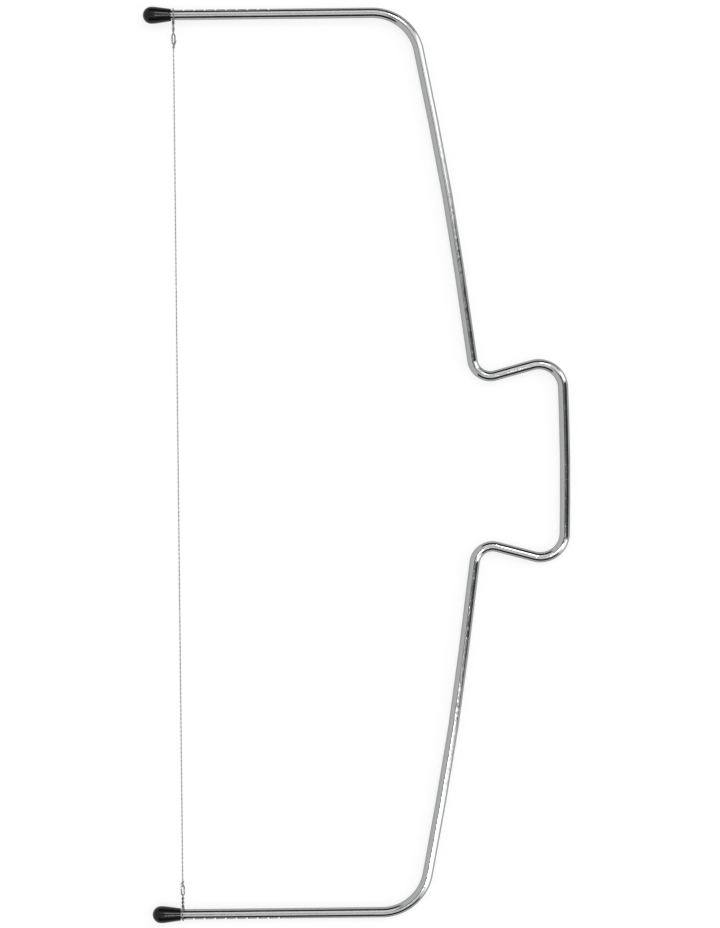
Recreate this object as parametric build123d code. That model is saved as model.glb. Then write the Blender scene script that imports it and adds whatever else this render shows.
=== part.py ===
# Wire cake leveler: one bent steel rod holds a thin cutting wire between its two notched legs.
# Millimetres. +X runs from the feet to the grip, +Y along the cutting wire, +Z up out of the frame's plane.
# The tool lies flat. The origin is on the surface that it lies on, under the middle of its box.

import os
from math import acos, atan2, cos, pi, radians, sin, tan

from build123d import *

# Frame rod: one length of round steel, bent in one plane, alike on both sides
rod_diameter = 3.6
leg_spacing = 317.5  # between the centre lines of the two legs
leg_length = 94.7  # from a foot's tip to the shoulder corner
side_lean = 21.3  # how far a side runs back from its shoulder corner to its neck corner
side_bow = 1.9  # how far a side's middle stands out of the straight line
neck_spacing = 56.7  # between the two neck corners
grip_depth = 30.7  # from the neck corners back to the grip corners
grip_width = 73.3  # between the two grip corners
grip_bow = 0.8  # how far the grip's middle stands out of the straight line
shoulder_bend = 16.6  # radii of the bends, on the rod's centre line
neck_bend = 6.4
grip_bend = 8.6
bow_arc_share = 0.4  # how much of a bowed run's half its arc takes up
rod_end_chamfer = 0.3

# Notches: nicks across the outer side of both legs, which the hangers' rings drop into
notch_count = 10
notch_pitch = 3.75
notch_width = 0.9
notch_depth = 0.8
notch_slant = 20.0  # degrees that a nick leans along the leg
first_notch_gap = 0.75  # from a foot's mouth to the middle of the first notch

# Feet: soft teardrop caps pushed on to the rod's ends
foot_length = 10.0
foot_tip_wall = 2.0  # solid end in front of the bore
foot_wall = 0.35  # wall round the rod at the mouth
foot_swell = 0.85  # how far the head stands out beyond the mouth
foot_belly_share = 0.47  # how tightly the head turns into the taper
foot_lip_share = 0.4  # how much of the wall the mouth's rounding takes
foot_fit = 0.02  # radial clearance on the rod
foot_end_gap = 0.1  # from the rod's end to the bottom of the bore

# Hangers: one bent wire each, a ring round the leg, a twisted shank and a long eye
hanger_wire = 0.5
ring_clearance = 0.15  # all round the leg, so that the ring slides
shank_length = 3.65
eye_length = 4.5
eye_side_clearance = 0.125  # beside the cutting wire's loop
left_shank_turns = 0.75
right_shank_turns = 1.25
strand_pitch_share = 0.94  # twisted strands press into each other a little

# Cutting wire: two thin strands laid together, looped and wrapped at both ends
cutting_diameter = 0.5
strand_diameter = 0.25
loop_clearance = 0.05  # round the eye's wire
wrap_length = 1.0
tail_clearance = 0.1  # above the eye's wire
left_tail_length = 2.8
left_tail_splay = 21.0  # degrees away from the cutting wire, towards the grip
right_tail_length = 1.4
right_tail_splay = 37.0  # degrees, towards the feet

# Places that follow from the sizes, measured from the feet's tips
rod_radius = rod_diameter / 2
leg_y = leg_spacing / 2
neck_x = leg_length + side_lean
grip_x = neck_x + grip_depth
grip_crest = grip_bow * (1 - bow_arc_share / 2)
overall_length = grip_x + grip_crest + rod_radius
mouth_radius = rod_radius + foot_fit + foot_wall
foot_radius = mouth_radius + foot_swell
wire_x = foot_length + first_notch_gap
ring_radius = rod_radius + ring_clearance + hanger_wire / 2
eye_opening = strand_diameter + 2 * eye_side_clearance
eye_base = ring_radius + shank_length + hanger_wire  # centre line of the eye's wire, from the leg's axis
eye_tip = eye_base + eye_length - hanger_wire
loop_radius = hanger_wire / 2 + loop_clearance + strand_diameter / 2
tail_height = hanger_wire / 2 + tail_clearance + strand_diameter / 2


def bow_radius(start, middle, end):
    """Radius of the long arc that rounds the middle corner of a bowed run."""
    turn = (middle - start).get_angle(end - middle)
    half = min((middle - start).length, (end - middle).length)
    return bow_arc_share * half / tan(radians(turn) / 2)


def rod_line():
    """Centre line of the rod, from the left leg's end round the grip to the right leg's end."""
    leg_end = Vector(foot_tip_wall + foot_end_gap, leg_y)
    shoulder = Vector(leg_length, leg_y)
    neck = Vector(neck_x, neck_spacing / 2)
    grip_corner = Vector(grip_x, grip_width / 2)
    grip_middle = Vector(grip_x + grip_bow, 0)
    run = neck - shoulder
    outward = Vector(-run.Y, run.X).normalized()
    side_middle = shoulder + run / 2 + outward * side_bow
    half = [leg_end, shoulder, side_middle, neck, grip_corner]
    mirrored = [Vector(point.X, -point.Y) for point in reversed(half)]
    side_arc = bow_radius(shoulder, side_middle, neck)
    grip_arc = bow_radius(grip_corner, grip_middle, mirrored[0])
    bends = [shoulder_bend, side_arc, neck_bend, grip_bend]
    return FilletPolyline(*half, grip_middle, *mirrored, radius=bends + [grip_arc] + bends[::-1])


def notch_cutters(side):
    """Round-bottomed cutters for one leg's notches, side +1 for the left leg and -1 for the right."""
    radius = (notch_width**2 / 4 + notch_depth**2) / (2 * notch_depth)
    centre_y = leg_y + rod_radius - notch_depth + radius
    cutter = Cylinder(radius, rod_diameter)
    return [
        Pos(wire_x + number * notch_pitch, side * centre_y, 0) * Rot(0, -side * notch_slant, 0) * cutter
        for number in range(notch_count)
    ]


def frame_rod():
    """Bent rod with its notches and chamfered ends."""
    line = rod_line()
    rod = sweep(Plane(origin=line @ 0, z_dir=line % 0) * Circle(rod_radius), path=line)
    ends = rod.edges().filter_by(GeomType.CIRCLE).group_by(Axis.X)[0]
    rod = chamfer(ends, rod_end_chamfer)
    return rod - (notch_cutters(1) + notch_cutters(-1))


def foot():
    """Teardrop cap with a blind bore, its tip at x = 0 and its axis along X."""
    taper_run = foot_length - foot_radius
    belly = foot_belly_share * (taper_run**2 + foot_swell**2) / (2 * foot_swell)
    centre = Vector(foot_radius, foot_radius - belly)
    mouth = Vector(foot_length, mouth_radius)
    to_mouth = mouth - centre
    lean = atan2(to_mouth.X, to_mouth.Y) - acos(belly / to_mouth.length)
    half_round = foot_radius * sin(pi / 4)
    cap = ThreePointArc((0, 0), (foot_radius - half_round, half_round), (foot_radius, foot_radius))
    middle = centre + Vector(sin(lean / 2), cos(lean / 2)) * belly
    taper_start = centre + Vector(sin(lean), cos(lean)) * belly
    head = ThreePointArc((foot_radius, foot_radius), middle, taper_start)
    rest = Polyline(taper_start, mouth, (foot_length, 0), (0, 0))
    solid = revolve(make_face(cap + head + rest), Axis.X)
    lip = solid.edges().filter_by(GeomType.CIRCLE).sort_by(Axis.X)[-1]
    solid = fillet(lip, foot_lip_share * foot_wall)
    bore_radius = rod_radius + foot_fit
    bore_depth = foot_length - foot_tip_wall
    bore = Pos(foot_tip_wall, 0, 0) * Rot(0, 90, 0) * Cylinder(
        bore_radius, 2 * bore_depth, align=(Align.CENTER, Align.CENTER, Align.MIN)
    )
    return solid - bore


def hanger(shank_turns):
    """Bent wire: a ring round a leg whose axis is X, a twisted shank and an eye, reaching along -Y."""
    wire_radius = hanger_wire / 2
    ring = Rot(0, 90, 0) * Torus(ring_radius, wire_radius)

    strand_step = strand_pitch_share * wire_radius
    strands = Sketch() + [Pos(0, side * strand_step) * Circle(wire_radius) for side in (1, -1)]
    shank_start = ring_radius
    shank_run = eye_base - shank_start
    section = (Plane((0, -shank_start, 0), x_dir=(1, 0, 0), z_dir=(0, -1, 0)) * strands).face()
    shank = Solid.extrude_linear_with_rotation(
        section, (0, -shank_start, 0), (0, -shank_run, 0), 360 * shank_turns
    )

    bend = (eye_opening + hanger_wire) / 2
    far = eye_tip - bend
    near = eye_base + bend
    sides = [Line((side * bend, -near), (side * bend, -far)) for side in (1, -1)]
    tip = ThreePointArc((bend, -far), (0, -eye_tip), (-bend, -far))
    base = ThreePointArc((bend, -near), (0, -eye_base), (-bend, -near))
    outline = Wire(sides + [tip, base])
    eye = sweep(Plane(origin=outline @ 0, z_dir=outline % 0) * Circle(wire_radius), path=outline)
    return ring + shank + eye


def wire_end(tail_length, tail_splay):
    """End of the cutting wire: its loop through a hanger's eye, the wrap and the tail left over."""
    loop = Pos(0, -eye_tip, 0) * Rot(0, 90, 0) * Torus(loop_radius, strand_diameter / 2)
    wrap_start = eye_tip + loop_radius
    along_wire = (Align.CENTER, Align.CENTER, Align.MIN)
    wrap = Pos(0, -wrap_start, 0) * Rot(90, 0, 0) * Cylinder(tail_height, wrap_length, align=along_wire)
    tail_start = wrap_start + wrap_length - strand_diameter / 2
    tail = Cylinder(strand_diameter / 2, tail_length, align=along_wire)
    tail = Pos(0, -tail_start, tail_height) * Rot(0, 0, -tail_splay) * Rot(-90, 0, 0) * tail
    return loop + wrap + tail


def at_left(shape):
    """Places what is made about the X axis on the left leg's axis."""
    return Pos(0, leg_y, 0) * shape


def at_right(shape):
    """Places it on the right leg's axis, turned round so that it still reaches inwards."""
    return Pos(0, -leg_y, 0) * Rot(0, 0, 180) * shape


def cutting_wire():
    """The wire from eye to eye with both its ends."""
    span = leg_spacing - 2 * (eye_tip + loop_radius)
    wire = Rot(90, 0, 0) * Cylinder(cutting_diameter / 2, span)
    left_end = at_left(wire_end(left_tail_length, left_tail_splay))
    right_end = at_right(wire_end(right_tail_length, right_tail_splay))
    return wire + left_end + right_end


# Every piece is made about the feet's tips and the rod's plane, then moved to the tool's own frame
to_tool = Pos(-overall_length / 2, 0, foot_radius)
to_first_notch = to_tool * Pos(wire_x, 0, 0)
pieces = {
    "frame_rod": to_tool * frame_rod(),
    "left_foot": to_tool * Pos(0, leg_y, 0) * foot(),
    "right_foot": to_tool * Pos(0, -leg_y, 0) * foot(),
    "left_hanger": to_first_notch * at_left(hanger(left_shank_turns)),
    "right_hanger": to_first_notch * at_right(hanger(right_shank_turns)),
    "cutting_wire": to_first_notch * cutting_wire(),
}

os.makedirs("parts", exist_ok=True)
for name, shape in pieces.items():
    export_step(shape, f"parts/{name}.step")
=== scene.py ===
from math import acos, atan2, cos, pi, radians, sin, sqrt, tan

import bpy
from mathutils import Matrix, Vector


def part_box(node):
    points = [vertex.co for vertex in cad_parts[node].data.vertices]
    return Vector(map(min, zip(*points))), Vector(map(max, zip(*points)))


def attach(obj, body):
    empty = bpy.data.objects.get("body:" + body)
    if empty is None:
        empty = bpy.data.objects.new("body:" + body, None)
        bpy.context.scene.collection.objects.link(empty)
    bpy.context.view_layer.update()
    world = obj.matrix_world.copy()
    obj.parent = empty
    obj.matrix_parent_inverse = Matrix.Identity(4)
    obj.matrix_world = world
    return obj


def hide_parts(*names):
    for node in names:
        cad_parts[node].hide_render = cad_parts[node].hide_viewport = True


# Wire cake leveler: a bent chromed rod, two soft black feet, two wire hangers and the twisted cutting wire.
# Metres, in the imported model's own frame: +X from the feet to the grip, +Y along the cutting wire, +Z up.
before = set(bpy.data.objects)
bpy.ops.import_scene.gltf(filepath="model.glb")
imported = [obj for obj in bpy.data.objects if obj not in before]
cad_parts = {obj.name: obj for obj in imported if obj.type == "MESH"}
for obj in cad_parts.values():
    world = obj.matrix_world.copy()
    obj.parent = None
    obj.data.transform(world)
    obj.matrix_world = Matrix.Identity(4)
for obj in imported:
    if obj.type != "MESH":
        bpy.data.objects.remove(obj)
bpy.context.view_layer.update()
mm = 0.001

# Places that everything here is hung on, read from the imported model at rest
footLow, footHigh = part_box("left_foot")
hangerLow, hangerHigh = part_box("left_hanger")
footTipX = footLow.x
legY = (footLow.y + footHigh.y) / 2
planeZ = (footLow.z + footHigh.z) / 2
wireX = (hangerLow.x + hangerHigh.x) / 2
sides = {"left": 1, "right": -1}
print("frame loaded: legs at y", round(legY / mm, 2), "mm, cutting wire at x", round(wireX / mm, 2), "mm")


def toRow(point, side):
    # from a leg's own axes, where the wire reaches along -Y, to the model's frame
    return Vector((wireX + side * point[0], side * (legY + point[1]), planeZ + point[2]))


def linearColour(code):
    # sRGB hex to the linear values that the shaders work in
    channels = [int(code[start:start + 2], 16) / 255 for start in (1, 3, 5)]
    return (*[c / 12.92 if c <= 0.04045 else ((c + 0.055) / 1.055) ** 2.4 for c in channels], 1)


def addNode(tree, kind, values=None, links=None, **settings):
    # one node with its settings, its fixed inputs and its links
    node = tree.nodes.new(kind)
    for name, setting in settings.items():
        setattr(node, name, setting)
    for name, value in (values or {}).items():
        node.inputs[name].default_value = value
    for name, source in (links or {}).items():
        tree.links.new(source, node.inputs[name])
    return node


# Materials
noiseLow, noiseHigh = 0.3, 0.7  # nearly all of a noise texture's values lie between these


def newMaterial(name):
    material = bpy.data.materials.new(name)
    material.use_nodes = True
    material.node_tree.nodes.clear()
    return material, material.node_tree


def wireSpace(tree, stretch):
    # the straightened wire's own space: length along it, then the place in its section
    space = addNode(tree, "ShaderNodeAttribute", attribute_name="wireSpace")
    return addNode(tree, "ShaderNodeMapping", {"Scale": (1 / stretch, 1, 1)},
                   {"Vector": space.outputs["Vector"]})


chromeFinish = {
    "colour": "#AAABAC",  # a dark chromium, as photographed
    "edgeColour": "#9A9B9D",  # and less than other metals at a glancing angle
    "polish": 0.04,  # roughness where it is untouched
    "haze": 0.13,  # roughness where handling has dulled it
    "hazeSize": 6 * mm,
    "hazeStart": 0.35,  # levels of the noise at which the haze begins and is full
    "hazeFull": 0.75,
    "speck": 0.33 * mm,  # fine dull specks in the plating
    "speckHaze": 0.15,  # roughness that they add
    "speckStart": 0.56,
    "speckFull": 0.70,
    "drawLine": 0.4 * mm,  # spacing of the drawing lines that the thin plating follows
    "drawLineStretch": 30,  # how much longer than wide they are
    "drawLineDepth": 0.004 * mm,
    "ripple": 2.6 * mm,  # slow waves left by straightening and bending
    "rippleDepth": 0.025 * mm,
    "peel": 0.5 * mm,  # fine unevenness of the plating itself
    "peelDepth": 0.007 * mm,
}


def chromePlatedSteel():
    # Bright chrome plating on drawn steel rod: a hard mirror, its bands broken a little by the draw lines
    # and the slow ripple of the rod under the thin plating, with a faint haze where it is handled
    # and fine dull specks that show in its dark bands.
    finish = chromeFinish
    material, tree = newMaterial("chrome-plated steel")
    along = wireSpace(tree, finish["drawLineStretch"])
    place = addNode(tree, "ShaderNodeTexCoord")
    lines = addNode(tree, "ShaderNodeTexNoise", {"Scale": 1 / finish["drawLine"], "Detail": 1},
                    {"Vector": along.outputs["Vector"]})
    ripple = addNode(tree, "ShaderNodeTexNoise", {"Scale": 1 / finish["ripple"], "Detail": 1},
                     {"Vector": place.outputs["Object"]})
    peel = addNode(tree, "ShaderNodeTexNoise", {"Scale": 1 / finish["peel"], "Detail": 1},
                   {"Vector": place.outputs["Object"]})
    haze = addNode(tree, "ShaderNodeTexNoise", {"Scale": 1 / finish["hazeSize"], "Detail": 4},
                   {"Vector": place.outputs["Object"]})
    roughness = addNode(tree, "ShaderNodeMapRange",
                        {"From Min": finish["hazeStart"], "From Max": finish["hazeFull"],
                         "To Min": finish["polish"], "To Max": finish["haze"]},
                        {"Value": haze.outputs["Fac"]})
    specks = addNode(tree, "ShaderNodeTexNoise", {"Scale": 1 / finish["speck"], "Detail": 1},
                     {"Vector": place.outputs["Object"]})
    dulled = addNode(tree, "ShaderNodeMapRange",
                     {"From Min": finish["speckStart"], "From Max": finish["speckFull"],
                      "To Max": finish["speckHaze"]},
                     {"Value": specks.outputs["Fac"]})
    dullness = addNode(tree, "ShaderNodeMath", operation="ADD",
                       links={0: roughness.outputs["Result"], 1: dulled.outputs["Result"]})
    waves = addNode(tree, "ShaderNodeBump", {"Distance": finish["rippleDepth"]},
                    {"Height": ripple.outputs["Fac"]})
    drawn = addNode(tree, "ShaderNodeBump", {"Distance": finish["drawLineDepth"]},
                    {"Height": lines.outputs["Fac"], "Normal": waves.outputs["Normal"]})
    plated = addNode(tree, "ShaderNodeBump", {"Distance": finish["peelDepth"]},
                     {"Height": peel.outputs["Fac"], "Normal": drawn.outputs["Normal"]})
    shader = addNode(tree, "ShaderNodeBsdfPrincipled",
                     {"Base Color": linearColour(finish["colour"]), "Metallic": 1.0,
                      "Specular Tint": linearColour(finish["edgeColour"])},
                     {"Roughness": dullness.outputs[0], "Normal": plated.outputs["Normal"]})
    addNode(tree, "ShaderNodeOutputMaterial", links={"Surface": shader.outputs["BSDF"]})
    return material


vinylFinish = {
    "colour": "#0B0B0C",
    "worn": "#171718",  # where the skin has greyed
    "gloss": 0.07,
    "dull": 0.15,
    "ior": 1.53,
    "sheen": 0.18,  # how much of a hard plastic's reflection the soft skin keeps
    "cloud": 2.5 * mm,  # size of the duller patches
    "skin": 0.22 * mm,  # grain of the mould's sandblasted wall
    "skinDepth": 0.006 * mm,
}


def mouldedVinyl():
    # Soft black PVC moulded in a lightly blasted tool: deep black, a satin skin that draws
    # the lamps into soft streaks, slightly greyer and duller in patches.
    finish = vinylFinish
    material, tree = newMaterial("moulded soft PVC")
    place = addNode(tree, "ShaderNodeTexCoord")
    cloud = addNode(tree, "ShaderNodeTexNoise", {"Scale": 1 / finish["cloud"], "Detail": 3},
                    {"Vector": place.outputs["Object"]})
    skin = addNode(tree, "ShaderNodeTexNoise", {"Scale": 1 / finish["skin"], "Detail": 2},
                   {"Vector": place.outputs["Object"]})
    mix = addNode(tree, "ShaderNodeMix", data_type="RGBA")
    mix.inputs[6].default_value = linearColour(finish["colour"])
    mix.inputs[7].default_value = linearColour(finish["worn"])
    tree.links.new(cloud.outputs["Fac"], mix.inputs[0])
    roughness = addNode(tree, "ShaderNodeMapRange",
                        {"From Min": noiseLow, "From Max": noiseHigh,
                         "To Min": finish["gloss"], "To Max": finish["dull"]},
                        {"Value": cloud.outputs["Fac"]})
    grain = addNode(tree, "ShaderNodeBump", {"Distance": finish["skinDepth"]},
                    {"Height": skin.outputs["Fac"]})
    shader = addNode(tree, "ShaderNodeBsdfPrincipled",
                     {"IOR": finish["ior"], "Specular IOR Level": finish["sheen"]},
                     {"Base Color": mix.outputs[2], "Roughness": roughness.outputs["Result"],
                      "Normal": grain.outputs["Normal"]})
    addNode(tree, "ShaderNodeOutputMaterial", links={"Surface": shader.outputs["BSDF"]})
    return material


hangerFinish = {
    "colour": "#85837F",
    "polish": 0.112,  # roughness on the lines' crests and between them
    "dull": 0.175,
    "drawLine": 0.12 * mm,  # spacing of the lines that the die leaves
    "drawLineStretch": 40,
    "drawLineDepth": 0.004 * mm,
}
strandFinish = {
    "colour": "#989795",
    "polish": 0.24,
    "dull": 0.375,
    "drawLine": 0.08 * mm,
    "drawLineStretch": 40,
    "drawLineDepth": 0.0015 * mm,
}


def drawnStainless(name, finish):
    # Stainless wire as it leaves the die: greyer and softer than plating, with fine lines along its length
    material, tree = newMaterial(name)
    along = wireSpace(tree, finish["drawLineStretch"])
    lines = addNode(tree, "ShaderNodeTexNoise", {"Scale": 1 / finish["drawLine"], "Detail": 3},
                    {"Vector": along.outputs["Vector"]})
    gloss = addNode(tree, "ShaderNodeMapRange",
                    {"From Min": noiseLow, "From Max": noiseHigh,
                     "To Min": finish["polish"], "To Max": finish["dull"]},
                    {"Value": lines.outputs["Fac"]})
    drawn = addNode(tree, "ShaderNodeBump", {"Distance": finish["drawLineDepth"]},
                    {"Height": lines.outputs["Fac"]})
    shader = addNode(tree, "ShaderNodeBsdfPrincipled",
                     {"Base Color": linearColour(finish["colour"]), "Metallic": 1.0},
                     {"Roughness": gloss.outputs["Result"], "Normal": drawn.outputs["Normal"]})
    addNode(tree, "ShaderNodeOutputMaterial", links={"Surface": shader.outputs["BSDF"]})
    return material


chrome = chromePlatedSteel()
vinyl = mouldedVinyl()
hangerSteel = drawnStainless("drawn stainless wire", hangerFinish)
strandSteel = drawnStainless("stranded stainless wire", strandFinish)
print("materials made")


# Geometry Nodes: wires that follow a path

def newTree(name, inputs):
    # a tree with named inputs; returns it with its input node
    tree = bpy.data.node_groups.new(name, "GeometryNodeTree")
    tree.interface.new_socket("Path", in_out="INPUT", socket_type="NodeSocketGeometry")
    for label, kind in inputs.items():
        tree.interface.new_socket(label, in_out="INPUT", socket_type="NodeSocket" + kind)
    tree.interface.new_socket("Geometry", in_out="OUTPUT", socket_type="NodeSocketGeometry")
    return tree, addNode(tree, "NodeGroupInput").outputs


def endTree(tree, geometry, finish):
    # what every tree ends in
    real = addNode(tree, "GeometryNodeRealizeInstances", links={"Geometry": geometry})
    dressed = addNode(tree, "GeometryNodeSetMaterial",
                      links={"Geometry": real.outputs["Geometry"], "Material": finish})
    addNode(tree, "NodeGroupOutput", links={"Geometry": dressed.outputs["Geometry"]})


def addSweep(tree, path, diameter, segments):
    # sweeps a round section along a curve and keeps the straightened wire's space for the materials
    length = addNode(tree, "GeometryNodeSplineParameter")
    measured = addNode(tree, "GeometryNodeCaptureAttribute", links={"Geometry": path})
    measured.capture_items.new("FLOAT", "Along")
    tree.links.new(length.outputs["Length"], measured.inputs["Along"])
    radius = addNode(tree, "ShaderNodeMath", {1: 0.5}, {0: diameter}, operation="MULTIPLY")
    section = addNode(tree, "GeometryNodeCurvePrimitiveCircle",
                      links={"Resolution": segments, "Radius": radius.outputs[0]})
    place = addNode(tree, "GeometryNodeInputPosition")
    sized = addNode(tree, "GeometryNodeCaptureAttribute", links={"Geometry": section.outputs["Curve"]})
    sized.capture_items.new("VECTOR", "Across")
    tree.links.new(place.outputs["Position"], sized.inputs["Across"])
    swept = addNode(tree, "GeometryNodeCurveToMesh", {"Fill Caps": True},
                    {"Curve": measured.outputs["Geometry"], "Profile Curve": sized.outputs["Geometry"]})
    across = addNode(tree, "ShaderNodeSeparateXYZ", links={"Vector": sized.outputs["Across"]})
    space = addNode(tree, "ShaderNodeCombineXYZ",
                    links={"X": measured.outputs["Along"], "Y": across.outputs["X"],
                           "Z": across.outputs["Y"]})
    return addNode(tree, "GeometryNodeStoreNamedAttribute", {"Name": "wireSpace"},
                   {"Geometry": swept.outputs["Mesh"], "Value": space.outputs["Vector"]},
                   data_type="FLOAT_VECTOR", domain="POINT").outputs["Geometry"]


def runTree(name, tree, values, points=((0, 0, 0),), closed=False):
    # runs a tree on a line through the points and returns its result as a plain mesh object
    line = bpy.data.meshes.new(name + "Path")
    edges = [(i, i + 1) for i in range(len(points) - 1)] + ([(len(points) - 1, 0)] if closed else [])
    line.from_pydata([tuple(p) for p in points], edges, [])
    carrier = bpy.data.objects.new(name + "Path", line)
    bpy.context.scene.collection.objects.link(carrier)
    shape = carrier.modifiers.new("shape", "NODES")
    shape.node_group = tree
    for item in tree.interface.items_tree:
        if item.in_out == "INPUT" and item.name in values:
            shape[item.identifier] = values[item.name]
    graph = bpy.context.evaluated_depsgraph_get()
    mesh = bpy.data.meshes.new_from_object(carrier.evaluated_get(graph), preserve_all_data_layers=True,
                                           depsgraph=graph)
    mesh.name = name
    bpy.data.objects.remove(carrier)
    piece = bpy.data.objects.new(name, mesh)
    bpy.context.scene.collection.objects.link(piece)
    return piece


def wireTree():
    # a wire along a path of points, rounded between them
    tree, given = newTree("bent wire", {"Wire Diameter": "Float", "Segments": "Int", "Steps": "Int",
                                        "Finish": "Material"})
    curve = addNode(tree, "GeometryNodeMeshToCurve", links={"Mesh": given["Path"]})
    smooth = addNode(tree, "GeometryNodeCurveSplineType", links={"Curve": curve.outputs["Curve"]},
                     spline_type="CATMULL_ROM")
    steps = addNode(tree, "GeometryNodeSetSplineResolution",
                    links={"Geometry": smooth.outputs["Curve"], "Resolution": given["Steps"]})
    endTree(tree, addSweep(tree, steps.outputs["Geometry"], given["Wire Diameter"], given["Segments"]),
            given["Finish"])
    return tree


def strandTree():
    # strands laid together round a straight line along Y
    tree, given = newTree("laid strands", {"Length": "Float", "Lay": "Float", "Strands": "Int",
                                           "Strand Diameter": "Float", "Steps per Turn": "Int",
                                           "Segments": "Int", "Middle": "Vector", "Finish": "Material"})
    turns = addNode(tree, "ShaderNodeMath", links={0: given["Length"], 1: given["Lay"]}, operation="DIVIDE")
    radius = addNode(tree, "ShaderNodeMath", {1: 0.5}, {0: given["Strand Diameter"]}, operation="MULTIPLY")
    helix = addNode(tree, "GeometryNodeCurveSpiral",
                    links={"Resolution": given["Steps per Turn"], "Rotations": turns.outputs[0],
                           "Start Radius": radius.outputs[0], "End Radius": radius.outputs[0],
                           "Height": given["Length"]})
    copies = addNode(tree, "GeometryNodeDuplicateElements",
                     links={"Geometry": helix.outputs["Curve"], "Amount": given["Strands"]}, domain="SPLINE")
    share = addNode(tree, "ShaderNodeMath", operation="DIVIDE",
                    links={0: copies.outputs["Duplicate Index"], 1: given["Strands"]})
    angle = addNode(tree, "ShaderNodeMath", {1: 2 * pi}, {0: share.outputs[0]}, operation="MULTIPLY")
    place = addNode(tree, "GeometryNodeInputPosition")
    turned = addNode(tree, "ShaderNodeVectorRotate", {"Axis": (0, 0, 1)},
                     {"Vector": place.outputs["Position"], "Angle": angle.outputs[0]})
    spread = addNode(tree, "GeometryNodeSetPosition",
                     links={"Geometry": copies.outputs["Geometry"], "Position": turned.outputs["Vector"]})
    half = addNode(tree, "ShaderNodeMath", {1: -0.5}, {0: given["Length"]}, operation="MULTIPLY")
    down = addNode(tree, "ShaderNodeCombineXYZ", links={"Z": half.outputs[0]})
    centred = addNode(tree, "GeometryNodeTransform",
                      links={"Geometry": spread.outputs["Geometry"], "Translation": down.outputs["Vector"]})
    laid = addNode(tree, "GeometryNodeTransform", {"Rotation": (pi / 2, 0, 0)},
                   {"Geometry": centred.outputs["Geometry"], "Translation": given["Middle"]})
    endTree(tree, addSweep(tree, laid.outputs["Geometry"], given["Strand Diameter"], given["Segments"]),
            given["Finish"])
    return tree


def notchedRodTree():
    # a thick rod along a path, with a row of round nicks cut across the outer side of each leg
    tree, given = newTree("notched rod", {"Rod Diameter": "Float", "Segments": "Int", "Notch Count": "Int",
                                          "Notch Pitch": "Float", "Cutter Radius": "Float",
                                          "Cutter Length": "Float", "Cutter Segments": "Int",
                                          "First Cutter": "Vector", "Lean": "Float", "Crease": "Float",
                                          "Finish": "Material"})
    curve = addNode(tree, "GeometryNodeMeshToCurve", links={"Mesh": given["Path"]})
    rod = addSweep(tree, curve.outputs["Curve"], given["Rod Diameter"], given["Segments"])
    cutter = addNode(tree, "GeometryNodeMeshCylinder",
                     links={"Vertices": given["Cutter Segments"], "Radius": given["Cutter Radius"],
                            "Depth": given["Cutter Length"]})
    step = addNode(tree, "ShaderNodeCombineXYZ", links={"X": given["Notch Pitch"]})
    join = addNode(tree, "GeometryNodeJoinGeometry")
    for side in sides.values():
        start = addNode(tree, "ShaderNodeVectorMath", {1: (1, side, 1)}, {0: given["First Cutter"]},
                        operation="MULTIPLY")
        row = addNode(tree, "GeometryNodeMeshLine",
                      links={"Count": given["Notch Count"], "Start Location": start.outputs[0],
                             "Offset": step.outputs["Vector"]})
        lean = addNode(tree, "ShaderNodeMath", {1: -side}, {0: given["Lean"]}, operation="MULTIPLY")
        turn = addNode(tree, "ShaderNodeCombineXYZ", links={"Y": lean.outputs[0]})
        cutters = addNode(tree, "GeometryNodeInstanceOnPoints",
                          links={"Points": row.outputs["Mesh"], "Instance": cutter.outputs["Mesh"],
                                 "Rotation": turn.outputs["Vector"]})
        tree.links.new(cutters.outputs["Instances"], join.inputs["Geometry"])
    real = addNode(tree, "GeometryNodeRealizeInstances", links={"Geometry": join.outputs["Geometry"]})
    cut = addNode(tree, "GeometryNodeMeshBoolean", operation="DIFFERENCE", solver="MANIFOLD",
                  links={"Mesh 1": rod, "Mesh 2": real.outputs["Geometry"]})
    edge = addNode(tree, "GeometryNodeInputMeshEdgeAngle")
    sharp = addNode(tree, "FunctionNodeCompare", operation="GREATER_THAN",
                    links={"A": edge.outputs["Unsigned Angle"], "B": given["Crease"]})
    smooth = addNode(tree, "GeometryNodeSetShadeSmooth", {"Shade Smooth": True},
                     {"Geometry": cut.outputs["Mesh"]}, domain="FACE")
    creased = addNode(tree, "GeometryNodeSetShadeSmooth", {"Shade Smooth": False},
                      {"Geometry": smooth.outputs["Geometry"], "Selection": sharp.outputs["Result"]},
                      domain="EDGE")
    endTree(tree, creased.outputs["Geometry"], given["Finish"])
    return tree


# Frame rod: one length of round steel, bent in one plane
rod = {
    "diameter": 3.6 * mm,
    "legLength": 94.7 * mm,  # from a foot's tip to the shoulder corner
    "sideLean": 21.3 * mm,  # how far a side runs back from its shoulder to its neck
    "sideBow": 1.9 * mm,  # how far a side's middle stands out
    "neckSpacing": 56.7 * mm,
    "gripDepth": 30.7 * mm,
    "gripWidth": 73.3 * mm,
    "gripBow": 0.8 * mm,
    "shoulderBend": 16.6 * mm,  # radii on the centre line
    "neckBend": 6.4 * mm,
    "gripBend": 8.6 * mm,
    "bowArcShare": 0.4,
    "endInFoot": 2.1 * mm,  # from a foot's tip to the rod's end
    "straightStep": 2.5 * mm,
    "bendStep": 2.0,  # degrees
    "segments": 64,
}
notches = {
    "count": 10,
    "pitch": 3.75 * mm,
    "width": 0.9 * mm,
    "depth": 0.8 * mm,
    "lean": 20.0,  # degrees along the leg
    "segments": 40,  # of the round cutter
    "crease": 30.0,  # degrees, past which an edge stays sharp
}


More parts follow.
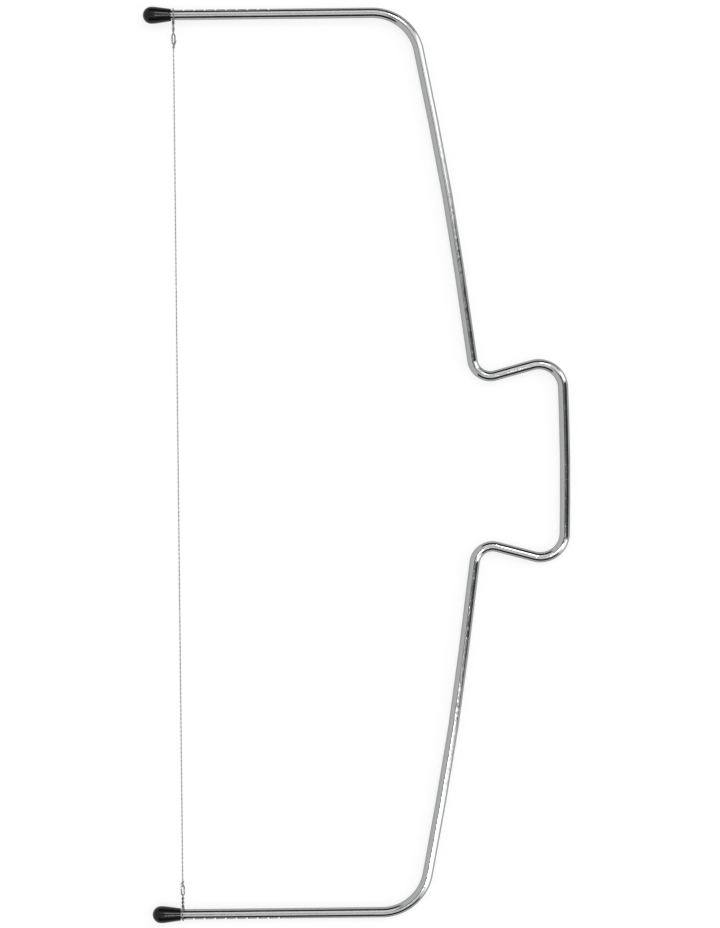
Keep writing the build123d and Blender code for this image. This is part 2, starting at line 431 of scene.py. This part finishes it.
def bentPath(corners, radii, straightStep, bendStep):
    # points along straight runs joined by tangent arcs
    points = [corners[0]]

    def runTo(end):
        gap = end - points[-1]
        count = max(1, round(gap.length / straightStep))
        start = points[-1]
        points.extend(start + gap * (i / count) for i in range(1, count + 1))

    for before, corner, after, radius in zip(corners, corners[1:], corners[2:], radii):
        towards, away = (corner - before).normalized(), (after - corner).normalized()
        turn = towards.angle(away)
        reach = radius * tan(turn / 2)
        runTo(corner - towards * reach)
        centre = corner + (away - towards).normalized() * (radius / cos(turn / 2))
        first, last = points[-1] - centre, corner + away * reach - centre
        count = max(2, round(turn / radians(bendStep)))
        for i in range(1, count + 1):
            share = i / count
            points.append(centre + (first * sin((1 - share) * turn) + last * sin(share * turn)) / sin(turn))
    runTo(corners[-1])
    return points


def bowRadius(start, middle, end):
    # radius of the long arc that rounds the middle corner of a bowed run
    turn = (middle - start).angle(end - middle)
    half = min((middle - start).length, (end - middle).length)
    return rod["bowArcShare"] * half / tan(turn / 2)


def makeFrameRod():
    shoulderX = footTipX + rod["legLength"]
    neckX = shoulderX + rod["sideLean"]
    gripX = neckX + rod["gripDepth"]
    legEnd = Vector((footTipX + rod["endInFoot"], legY, planeZ))
    shoulder = Vector((shoulderX, legY, planeZ))
    neck = Vector((neckX, rod["neckSpacing"] / 2, planeZ))
    gripCorner = Vector((gripX, rod["gripWidth"] / 2, planeZ))
    gripMiddle = Vector((gripX + rod["gripBow"], 0, planeZ))
    run = neck - shoulder
    sideMiddle = shoulder + run / 2 + Vector((-run.y, run.x, 0)).normalized() * rod["sideBow"]
    half = [legEnd, shoulder, sideMiddle, neck, gripCorner]
    mirrored = [Vector((p.x, -p.y, p.z)) for p in reversed(half)]
    bends = [rod["shoulderBend"], bowRadius(shoulder, sideMiddle, neck), rod["neckBend"], rod["gripBend"]]
    radii = bends + [bowRadius(gripCorner, gripMiddle, mirrored[0])] + bends[::-1]
    path = bentPath(half + [gripMiddle] + mirrored, radii, rod["straightStep"], rod["bendStep"])
    cutterRadius = (notches["width"] ** 2 / 4 + notches["depth"] ** 2) / (2 * notches["depth"])
    cutterY = legY + rod["diameter"] / 2 - notches["depth"] + cutterRadius
    piece = runTree("frameRod", notchedRodTree(), {
        "Rod Diameter": rod["diameter"], "Segments": rod["segments"],
        "Notch Count": notches["count"], "Notch Pitch": notches["pitch"],
        "Cutter Radius": cutterRadius, "Cutter Length": rod["diameter"],
        "Cutter Segments": notches["segments"],
        "First Cutter": (wireX, cutterY, planeZ), "Lean": radians(notches["lean"]),
        "Crease": radians(notches["crease"]), "Finish": chrome,
    }, path)
    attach(piece, "frame")
    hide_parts("frame_rod")
    print("frame rod:", len(piece.data.polygons), "faces")


# Feet: soft teardrop caps pushed on to the rod's ends
foot = {
    "length": 10.0 * mm,
    "tipWall": 2.0 * mm,
    "headRadius": (footHigh.z - footLow.z) / 2,
    "mouthRadius": 2.17 * mm,
    "bore": 1.82 * mm,
    "bellyShare": 0.47,  # how tightly the head turns into the taper
    "lipRadius": 0.14 * mm,
    "lipSteps": 6,
    "boreEdgeShare": 1 / 3,  # bevel of the bore's edge, of the lip's radius
    "partingDepth": 0.03 * mm,  # hairline where the two halves of the mould met
    "crease": 40.0,  # degrees, past which an edge stays sharp
    "segments": 96,
    "arcSteps": 18,
}


def arcPoints(centre, radius, start, end, steps):
    # (along, out) points of an arc, angles from the outward direction towards the mouth
    angles = [start + (end - start) * i / steps for i in range(steps + 1)]
    return [(centre[0] + radius * sin(a), centre[1] + radius * cos(a)) for a in angles]


def footProfile():
    head, length = foot["headRadius"], foot["length"]
    taperRun, swell = length - head, head - foot["mouthRadius"]
    belly = foot["bellyShare"] * (taperRun ** 2 + swell ** 2) / (2 * swell)
    centre = (head, head - belly)
    toMouth = Vector((length - centre[0], foot["mouthRadius"] - centre[1]))
    lean = atan2(toMouth.x, toMouth.y) - acos(belly / toMouth.length)
    steps, lip = foot["arcSteps"], foot["lipRadius"]
    profile = arcPoints((head, 0), head, -pi / 2, 0, 2 * steps)
    profile += arcPoints(centre, belly, 0, lean, steps)[1:]
    taperEnd = (length - lip, foot["mouthRadius"] + lip * tan(lean))
    start = profile[-1]
    profile += [tuple(a + (b - a) * i / steps for a, b in zip(start, taperEnd)) for i in range(1, steps)]
    profile += arcPoints((length - lip, taperEnd[1] - lip), lip, 0, pi / 2, foot["lipSteps"])
    bevel = foot["boreEdgeShare"] * lip
    profile += [(length, foot["bore"] + bevel), (length - bevel, foot["bore"])]
    profile += [(foot["tipWall"], foot["bore"]), (foot["tipWall"], 0)]
    return profile


def makeFoot(name, side):
    # turns the profile round the leg's axis; its first and last points lie on the axis
    profile, count = footProfile(), foot["segments"]
    rings = profile[1:-1]
    points = [(footTipX + along, side * legY, planeZ) for along, out in (profile[0], profile[-1])]
    for along, out in rings:
        outside = out > foot["bore"] + foot["lipRadius"]
        for step in range(count):
            angle = 2 * pi * step / count
            onSeam = outside and step % (count // 2) == 0
            radius = out - foot["partingDepth"] if onSeam else out
            across, up = radius * cos(angle), radius * sin(angle)
            points.append((footTipX + along, side * legY + across, planeZ + up))
    faces = []
    for step in range(count):
        after = (step + 1) % count
        faces.append((0, 2 + after, 2 + step))
        base = 2 + (len(rings) - 1) * count
        faces.append((1, base + step, base + after))
        for ring in range(len(rings) - 1):
            near, far = 2 + ring * count, 2 + (ring + 1) * count
            faces.append((near + step, near + after, far + after, far + step))
    mesh = bpy.data.meshes.new(name)
    mesh.from_pydata(points, [], faces)
    mesh.polygons.foreach_set("use_smooth", [True] * len(mesh.polygons))
    mesh.set_sharp_from_angle(angle=radians(foot["crease"]))
    mesh.materials.append(vinyl)
    piece = bpy.data.objects.new(name, mesh)
    bpy.context.scene.collection.objects.link(piece)
    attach(piece, "frame")
    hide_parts("left_foot" if side > 0 else "right_foot")
    print(name, len(faces), "faces")


# Hangers: one bent wire each, a ring round the leg, a twisted shank and a long eye
hanger = {
    "wire": 0.5 * mm,
    "ringRadius": 2.2 * mm,  # centre lines from here on, measured from the leg's axis
    "twistStart": 2.85 * mm,
    "twistEnd": 6.2 * mm,
    "eyeStart": 7.6 * mm,
    "eyeTip": 10.35 * mm,
    "eyeTipLength": 1.3 * mm,
    "eyeHalfWidth": 0.5 * mm,
    "strandOffset": 0.235 * mm,  # from the shank's middle to each strand
    "shankTurns": {"left": 0.75, "right": 1.25},
    "ringGap": 24,  # degrees of the ring left open on each side of the shank
    "ringSteps": 48,
    "tipStep": 15,  # degrees round the eye's tip
    "step": 0.12 * mm,
    "smoothing": 2,  # curve steps between two points
    "segments": 20,
}


def shankAndEyeSide(turns):
    # one strand from the ring to the start of the eye's tip
    start, end = hanger["twistStart"], hanger["eyeTip"] - hanger["eyeTipLength"]
    count = round((end - start) / hanger["step"])
    points = []
    for i in range(count + 1):
        reach = start + (end - start) * i / count
        twist = min(1, (reach - start) / (hanger["twistEnd"] - start))
        opening = min(1, max(0, (reach - hanger["twistEnd"]) / (hanger["eyeStart"] - hanger["twistEnd"])))
        opening = opening * opening * (3 - 2 * opening)  # starts and ends gently
        angle = 2 * pi * (turns * twist + opening / 4)  # the eye lies a quarter turn on from the shank
        out = hanger["strandOffset"] + (hanger["eyeHalfWidth"] - hanger["strandOffset"]) * opening
        points.append(Vector((out * cos(angle), -reach, out * sin(angle))))
    return points


def ringRound():
    # from one strand's start, round the leg to the other's
    first, steps = hanger["ringGap"], hanger["ringSteps"]
    points = []
    for i in range(steps + 1):
        share = i / steps
        angle = radians(first + (360 - 2 * first) * share)
        across = hanger["strandOffset"] * (1 - 2 * share)
        towards, up = hanger["ringRadius"] * cos(angle), hanger["ringRadius"] * sin(angle)
        points.append(Vector((across, -towards, up)))
    return points


def eyeReach(across):
    # how far the eye's rounded tip reaches from the leg's axis, beside its middle
    share = across / hanger["eyeHalfWidth"]
    return hanger["eyeTip"] - hanger["eyeTipLength"] * (1 - sqrt(1 - share * share))


def makeHanger(name, side, turns, tree):
    strand = shankAndEyeSide(turns)
    other = [Vector((-p.x, p.y, -p.z)) for p in strand]
    half = hanger["eyeHalfWidth"] * (1 if strand[-1].x > 0 else -1)
    tip = []
    for degrees in range(hanger["tipStep"], 180, hanger["tipStep"]):
        across = half * cos(radians(degrees))
        tip.append(Vector((across, -eyeReach(across), 0)))
    path = ringRound() + other + tip[::-1] + strand[::-1]
    piece = runTree(name, tree, {
        "Wire Diameter": hanger["wire"], "Segments": hanger["segments"], "Steps": hanger["smoothing"],
        "Finish": hangerSteel,
    }, [toRow(p, side) for p in path], closed=True)
    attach(piece, "wire")
    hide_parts("left_hanger" if side > 0 else "right_hanger")
    print(name, len(piece.data.polygons), "faces")


# Cutting wire: two thin strands laid together, looped through each eye and wrapped round itself
cutting = {
    "strand": 0.25 * mm,
    "lay": 2.98 * mm,  # length of one full turn
    "loopRadius": 0.425 * mm,
    "loopTurns": 3,  # round the eye's tip, side by side
    "loopStart": -50,  # degrees from straight below the eye's wire
    "loopEnd": 230,
    "loopStep": 20,
    "wrapStart": 10.95 * mm,  # from the leg's axis
    "wrapEnd": 11.75 * mm,
    "wrapTurns": 3,
    "wrapStepsPerTurn": 12,
    "tails": {  # cut ends, with their degrees away from the wire
        "left": {"length": 2.8 * mm, "splay": 21.0},
        "right": {"length": 1.4 * mm, "splay": 37.0},
    },
    "endSegments": 12,
    "smoothing": 3,
    "stepsPerTurn": 16,
    "segments": 10,
}


def makeCuttingWire():
    span = 2 * (legY - cutting["wrapEnd"] + cutting["strand"])
    piece = runTree("cuttingWire", strandTree(), {
        "Length": span, "Lay": cutting["lay"], "Strands": 2, "Strand Diameter": cutting["strand"],
        "Steps per Turn": cutting["stepsPerTurn"], "Segments": cutting["segments"],
        "Middle": (wireX, 0, planeZ), "Finish": strandSteel,
    })
    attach(piece, "wire")
    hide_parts("cutting_wire")
    print("cutting wire:", len(piece.data.polygons), "faces")


def makeWireEnd(name, side, tail, tree):
    radius = cutting["loopRadius"]
    wrapRadius = cutting["strand"] + cutting["strand"] / 2  # outside the two laid strands
    path = [Vector((0, -cutting["wrapEnd"], -cutting["strand"] / 2)),
            Vector((0, -cutting["wrapStart"], -cutting["strand"] / 2))]
    extra = cutting["loopTurns"] - 1
    start, end = cutting["loopStart"], cutting["loopEnd"] + 360 * extra
    for degrees in range(start, end + 1, cutting["loopStep"]):  # round the eye's wire, from below
        angle = radians(degrees)
        across = cutting["strand"] * extra * ((degrees - start) / (end - start) - 1 / 2)
        path.append(Vector((across, -eyeReach(across) + radius * sin(angle), -radius * cos(angle))))
    path.append(Vector((0, -(cutting["wrapStart"] - cutting["strand"] / 2), wrapRadius)))
    steps = cutting["wrapTurns"] * cutting["wrapStepsPerTurn"]
    for i in range(1, steps + 1):  # tight turns round the two strands
        share = i / steps
        angle = 2 * pi * cutting["wrapTurns"] * share
        along = cutting["wrapStart"] + (cutting["wrapEnd"] - cutting["wrapStart"]) * share
        path.append(Vector((wrapRadius * sin(angle), -along, wrapRadius * cos(angle))))
    splay = radians(tail["splay"])
    corner = path[-1] + Vector((cutting["strand"] / 2, cutting["strand"], cutting["strand"] / 2))
    path.append(corner)
    path.append(corner + Vector((sin(splay), cos(splay), 0)) * (tail["length"] - cutting["strand"]))
    piece = runTree(name, tree, {
        "Wire Diameter": cutting["strand"], "Segments": cutting["endSegments"],
        "Steps": cutting["smoothing"], "Finish": strandSteel,
    }, [toRow(p, side) for p in path])
    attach(piece, "wire")
    print(name, len(piece.data.polygons), "faces")


# Studio: a pale floor, light walls with white panels and darker gaps between them, and two small lamps
surroundings = {
    "walls": 0.50,  # brightness, where 1 is white
    # each zone: azimuth from +X and half width, lowest and highest elevation, softness of its edge,
    # all in degrees, then its brightness; a later zone covers an earlier one
    "zones": {
        "soft light beside the panels": (0, 68, 3, 100, 7, 1.4),
        "white panels behind the grip": (0, 37, 3, 100, 7, 2.8),
        "dark gap between them": (0, 15.5, 3, 100, 5, 0.06),
        "dark arm overhead": (0, 32, 62, 100, 8, 0.26),
        "wall behind the feet": (180, 60, 3, 75, 8, 1.0),
        "ceiling over it": (180, 60, 75, 100, 8, 0.25),
        "dark gap on the left": (90, 27, 0, 42, 5, 0.03),
        "its low end": (54, 15, 0, 22, 5, 0.04),
        "panel over the left leg": (90, 27, 43, 100, 5, 1.45),
        "dark gap on the right": (-94, 34, 7, 50, 5, 0.03),
        "its near end": (-55, 9, 3, 46, 6, 0.08),
        "panel over the right leg": (-90, 27, 51, 100, 5, 1.3),
        "lamp on the left": (67, 8, 59, 63, 1.5, 36.0),
        "lamp on the right": (-42, 11, 73.5, 77.5, 1.5, 45.0),
        "dark lens overhead": (0, 200, 86, 100, 3, 0.12),
        "horizon": (0, 200, -100, 0, 1.5, 0.97),
    },
}
floorFinish = {
    "reach": 4.0,  # from its middle to each side
    "colour": "#7E7E7E",
    "glow": 0.78,  # what the camera, and metal, see of the floor's own white
}
camera = {
    "height": 1.0,
    "offset": (0.37 * mm, -0.46 * mm),
    "roll": -0.011,  # radians
    "millimetresPerPixel": 0.353,
    "picture": (720, 928),
    "sensor": 36.0,
}


def makeWorld():
    world = bpy.data.worlds.new("studio walls")
    world.use_nodes = True
    tree = world.node_tree
    tree.nodes.clear()
    place = addNode(tree, "ShaderNodeTexCoord")
    direction = addNode(tree, "ShaderNodeSeparateXYZ", links={"Vector": place.outputs["Generated"]})
    azimuth = addNode(tree, "ShaderNodeMath", operation="ARCTAN2",
                      links={0: direction.outputs["Y"], 1: direction.outputs["X"]}).outputs[0]
    elevation = addNode(tree, "ShaderNodeMath", links={0: direction.outputs["Z"]},
                        operation="ARCSINE").outputs[0]
    brightness = None
    for middle, width, low, high, soft, level in surroundings["zones"].values():
        off = addNode(tree, "ShaderNodeMath", {1: radians(middle)}, {0: azimuth}, operation="SUBTRACT")
        nearness = addNode(tree, "ShaderNodeMath", links={0: off.outputs[0]}, operation="COSINE")
        away = addNode(tree, "ShaderNodeMath", links={0: nearness.outputs[0]}, operation="ARCCOSINE")
        mask = None
        # each edge fades over its softness, which is positive where the zone lies above the edge
        for value, edge, fade in ((elevation, low, soft), (elevation, high, -soft),
                                  (away.outputs[0], width, -soft)):
            span = {"From Min": radians(edge - fade / 2), "From Max": radians(edge + fade / 2)}
            within = addNode(tree, "ShaderNodeMapRange", span, {"Value": value},
                             interpolation_type="SMOOTHSTEP").outputs["Result"]
            if mask is None:
                mask = within
            else:
                mask = addNode(tree, "ShaderNodeMath", links={0: mask, 1: within},
                               operation="MULTIPLY").outputs[0]
        mix = addNode(tree, "ShaderNodeMix", {2: surroundings["walls"], 3: level}, {0: mask},
                      data_type="FLOAT")
        if brightness is not None:
            tree.links.new(brightness, mix.inputs[2])
        brightness = mix.outputs[0]
    # the camera sees plain white behind the object, and metal the panels and the gaps between them
    path = addNode(tree, "ShaderNodeLightPath")
    plain = addNode(tree, "ShaderNodeMath", operation="MAXIMUM",
                    links={0: path.outputs["Is Camera Ray"], 1: path.outputs["Is Transmission Ray"]})
    shown = addNode(tree, "ShaderNodeMix", {3: 1.0}, {0: plain.outputs[0], 2: brightness},
                    data_type="FLOAT")
    light = addNode(tree, "ShaderNodeBackground", {"Color": (1, 1, 1, 1)}, {"Strength": shown.outputs[0]})
    addNode(tree, "ShaderNodeOutputWorld", links={"Surface": light.outputs["Background"]})
    bpy.context.scene.world = world


def makeFloor():
    material, tree = newMaterial("pale paper sweep")
    path = addNode(tree, "ShaderNodeLightPath")
    seen = addNode(tree, "ShaderNodeMath", operation="MAXIMUM",
                   links={0: path.outputs["Is Camera Ray"], 1: path.outputs["Is Glossy Ray"]})
    shown = addNode(tree, "ShaderNodeMath", operation="MAXIMUM",
                    links={0: seen.outputs[0], 1: path.outputs["Is Transmission Ray"]})
    strength = addNode(tree, "ShaderNodeMath", {1: floorFinish["glow"]}, {0: shown.outputs[0]},
                       operation="MULTIPLY")
    paper = addNode(tree, "ShaderNodeBsdfDiffuse", {"Color": linearColour(floorFinish["colour"])})
    glow = addNode(tree, "ShaderNodeEmission", {"Color": (1, 1, 1, 1)}, {"Strength": strength.outputs[0]})
    both = addNode(tree, "ShaderNodeAddShader",
                   links={0: paper.outputs["BSDF"], 1: glow.outputs["Emission"]})
    addNode(tree, "ShaderNodeOutputMaterial", links={"Surface": both.outputs["Shader"]})
    mesh = bpy.data.meshes.new("floor")
    reach = floorFinish["reach"]
    corners = [(-reach, -reach, 0), (reach, -reach, 0), (reach, reach, 0), (-reach, reach, 0)]
    mesh.from_pydata(corners, [], [(0, 1, 2, 3)])
    mesh.materials.append(material)
    floor = bpy.data.objects.new("floor", mesh)
    bpy.context.scene.collection.objects.link(floor)


def makeCamera():
    data = bpy.data.cameras.new("camera")
    data.sensor_width = camera["sensor"]
    shown = camera["picture"][1] * camera["millimetresPerPixel"] * mm  # what the picture's height takes in
    data.lens = camera["sensor"] * camera["height"] / shown
    seat = bpy.data.objects.new("camera", data)
    bpy.context.scene.collection.objects.link(seat)
    seat.location = (*camera["offset"], planeZ + camera["height"])
    seat.rotation_euler = (0, 0, camera["roll"])
    bpy.context.scene.camera = seat


makeCamera()
makeWorld()
makeFloor()
bpy.context.scene.view_settings.view_transform = "Standard"
print("studio made")

makeFrameRod()
bentWire = wireTree()
for name, side in sides.items():
    makeFoot(name + "Foot", side)
    makeHanger(name + "Hanger", side, hanger["shankTurns"][name], bentWire)
    makeWireEnd(name + "WireEnd", side, cutting["tails"][name], bentWire)
makeCuttingWire()
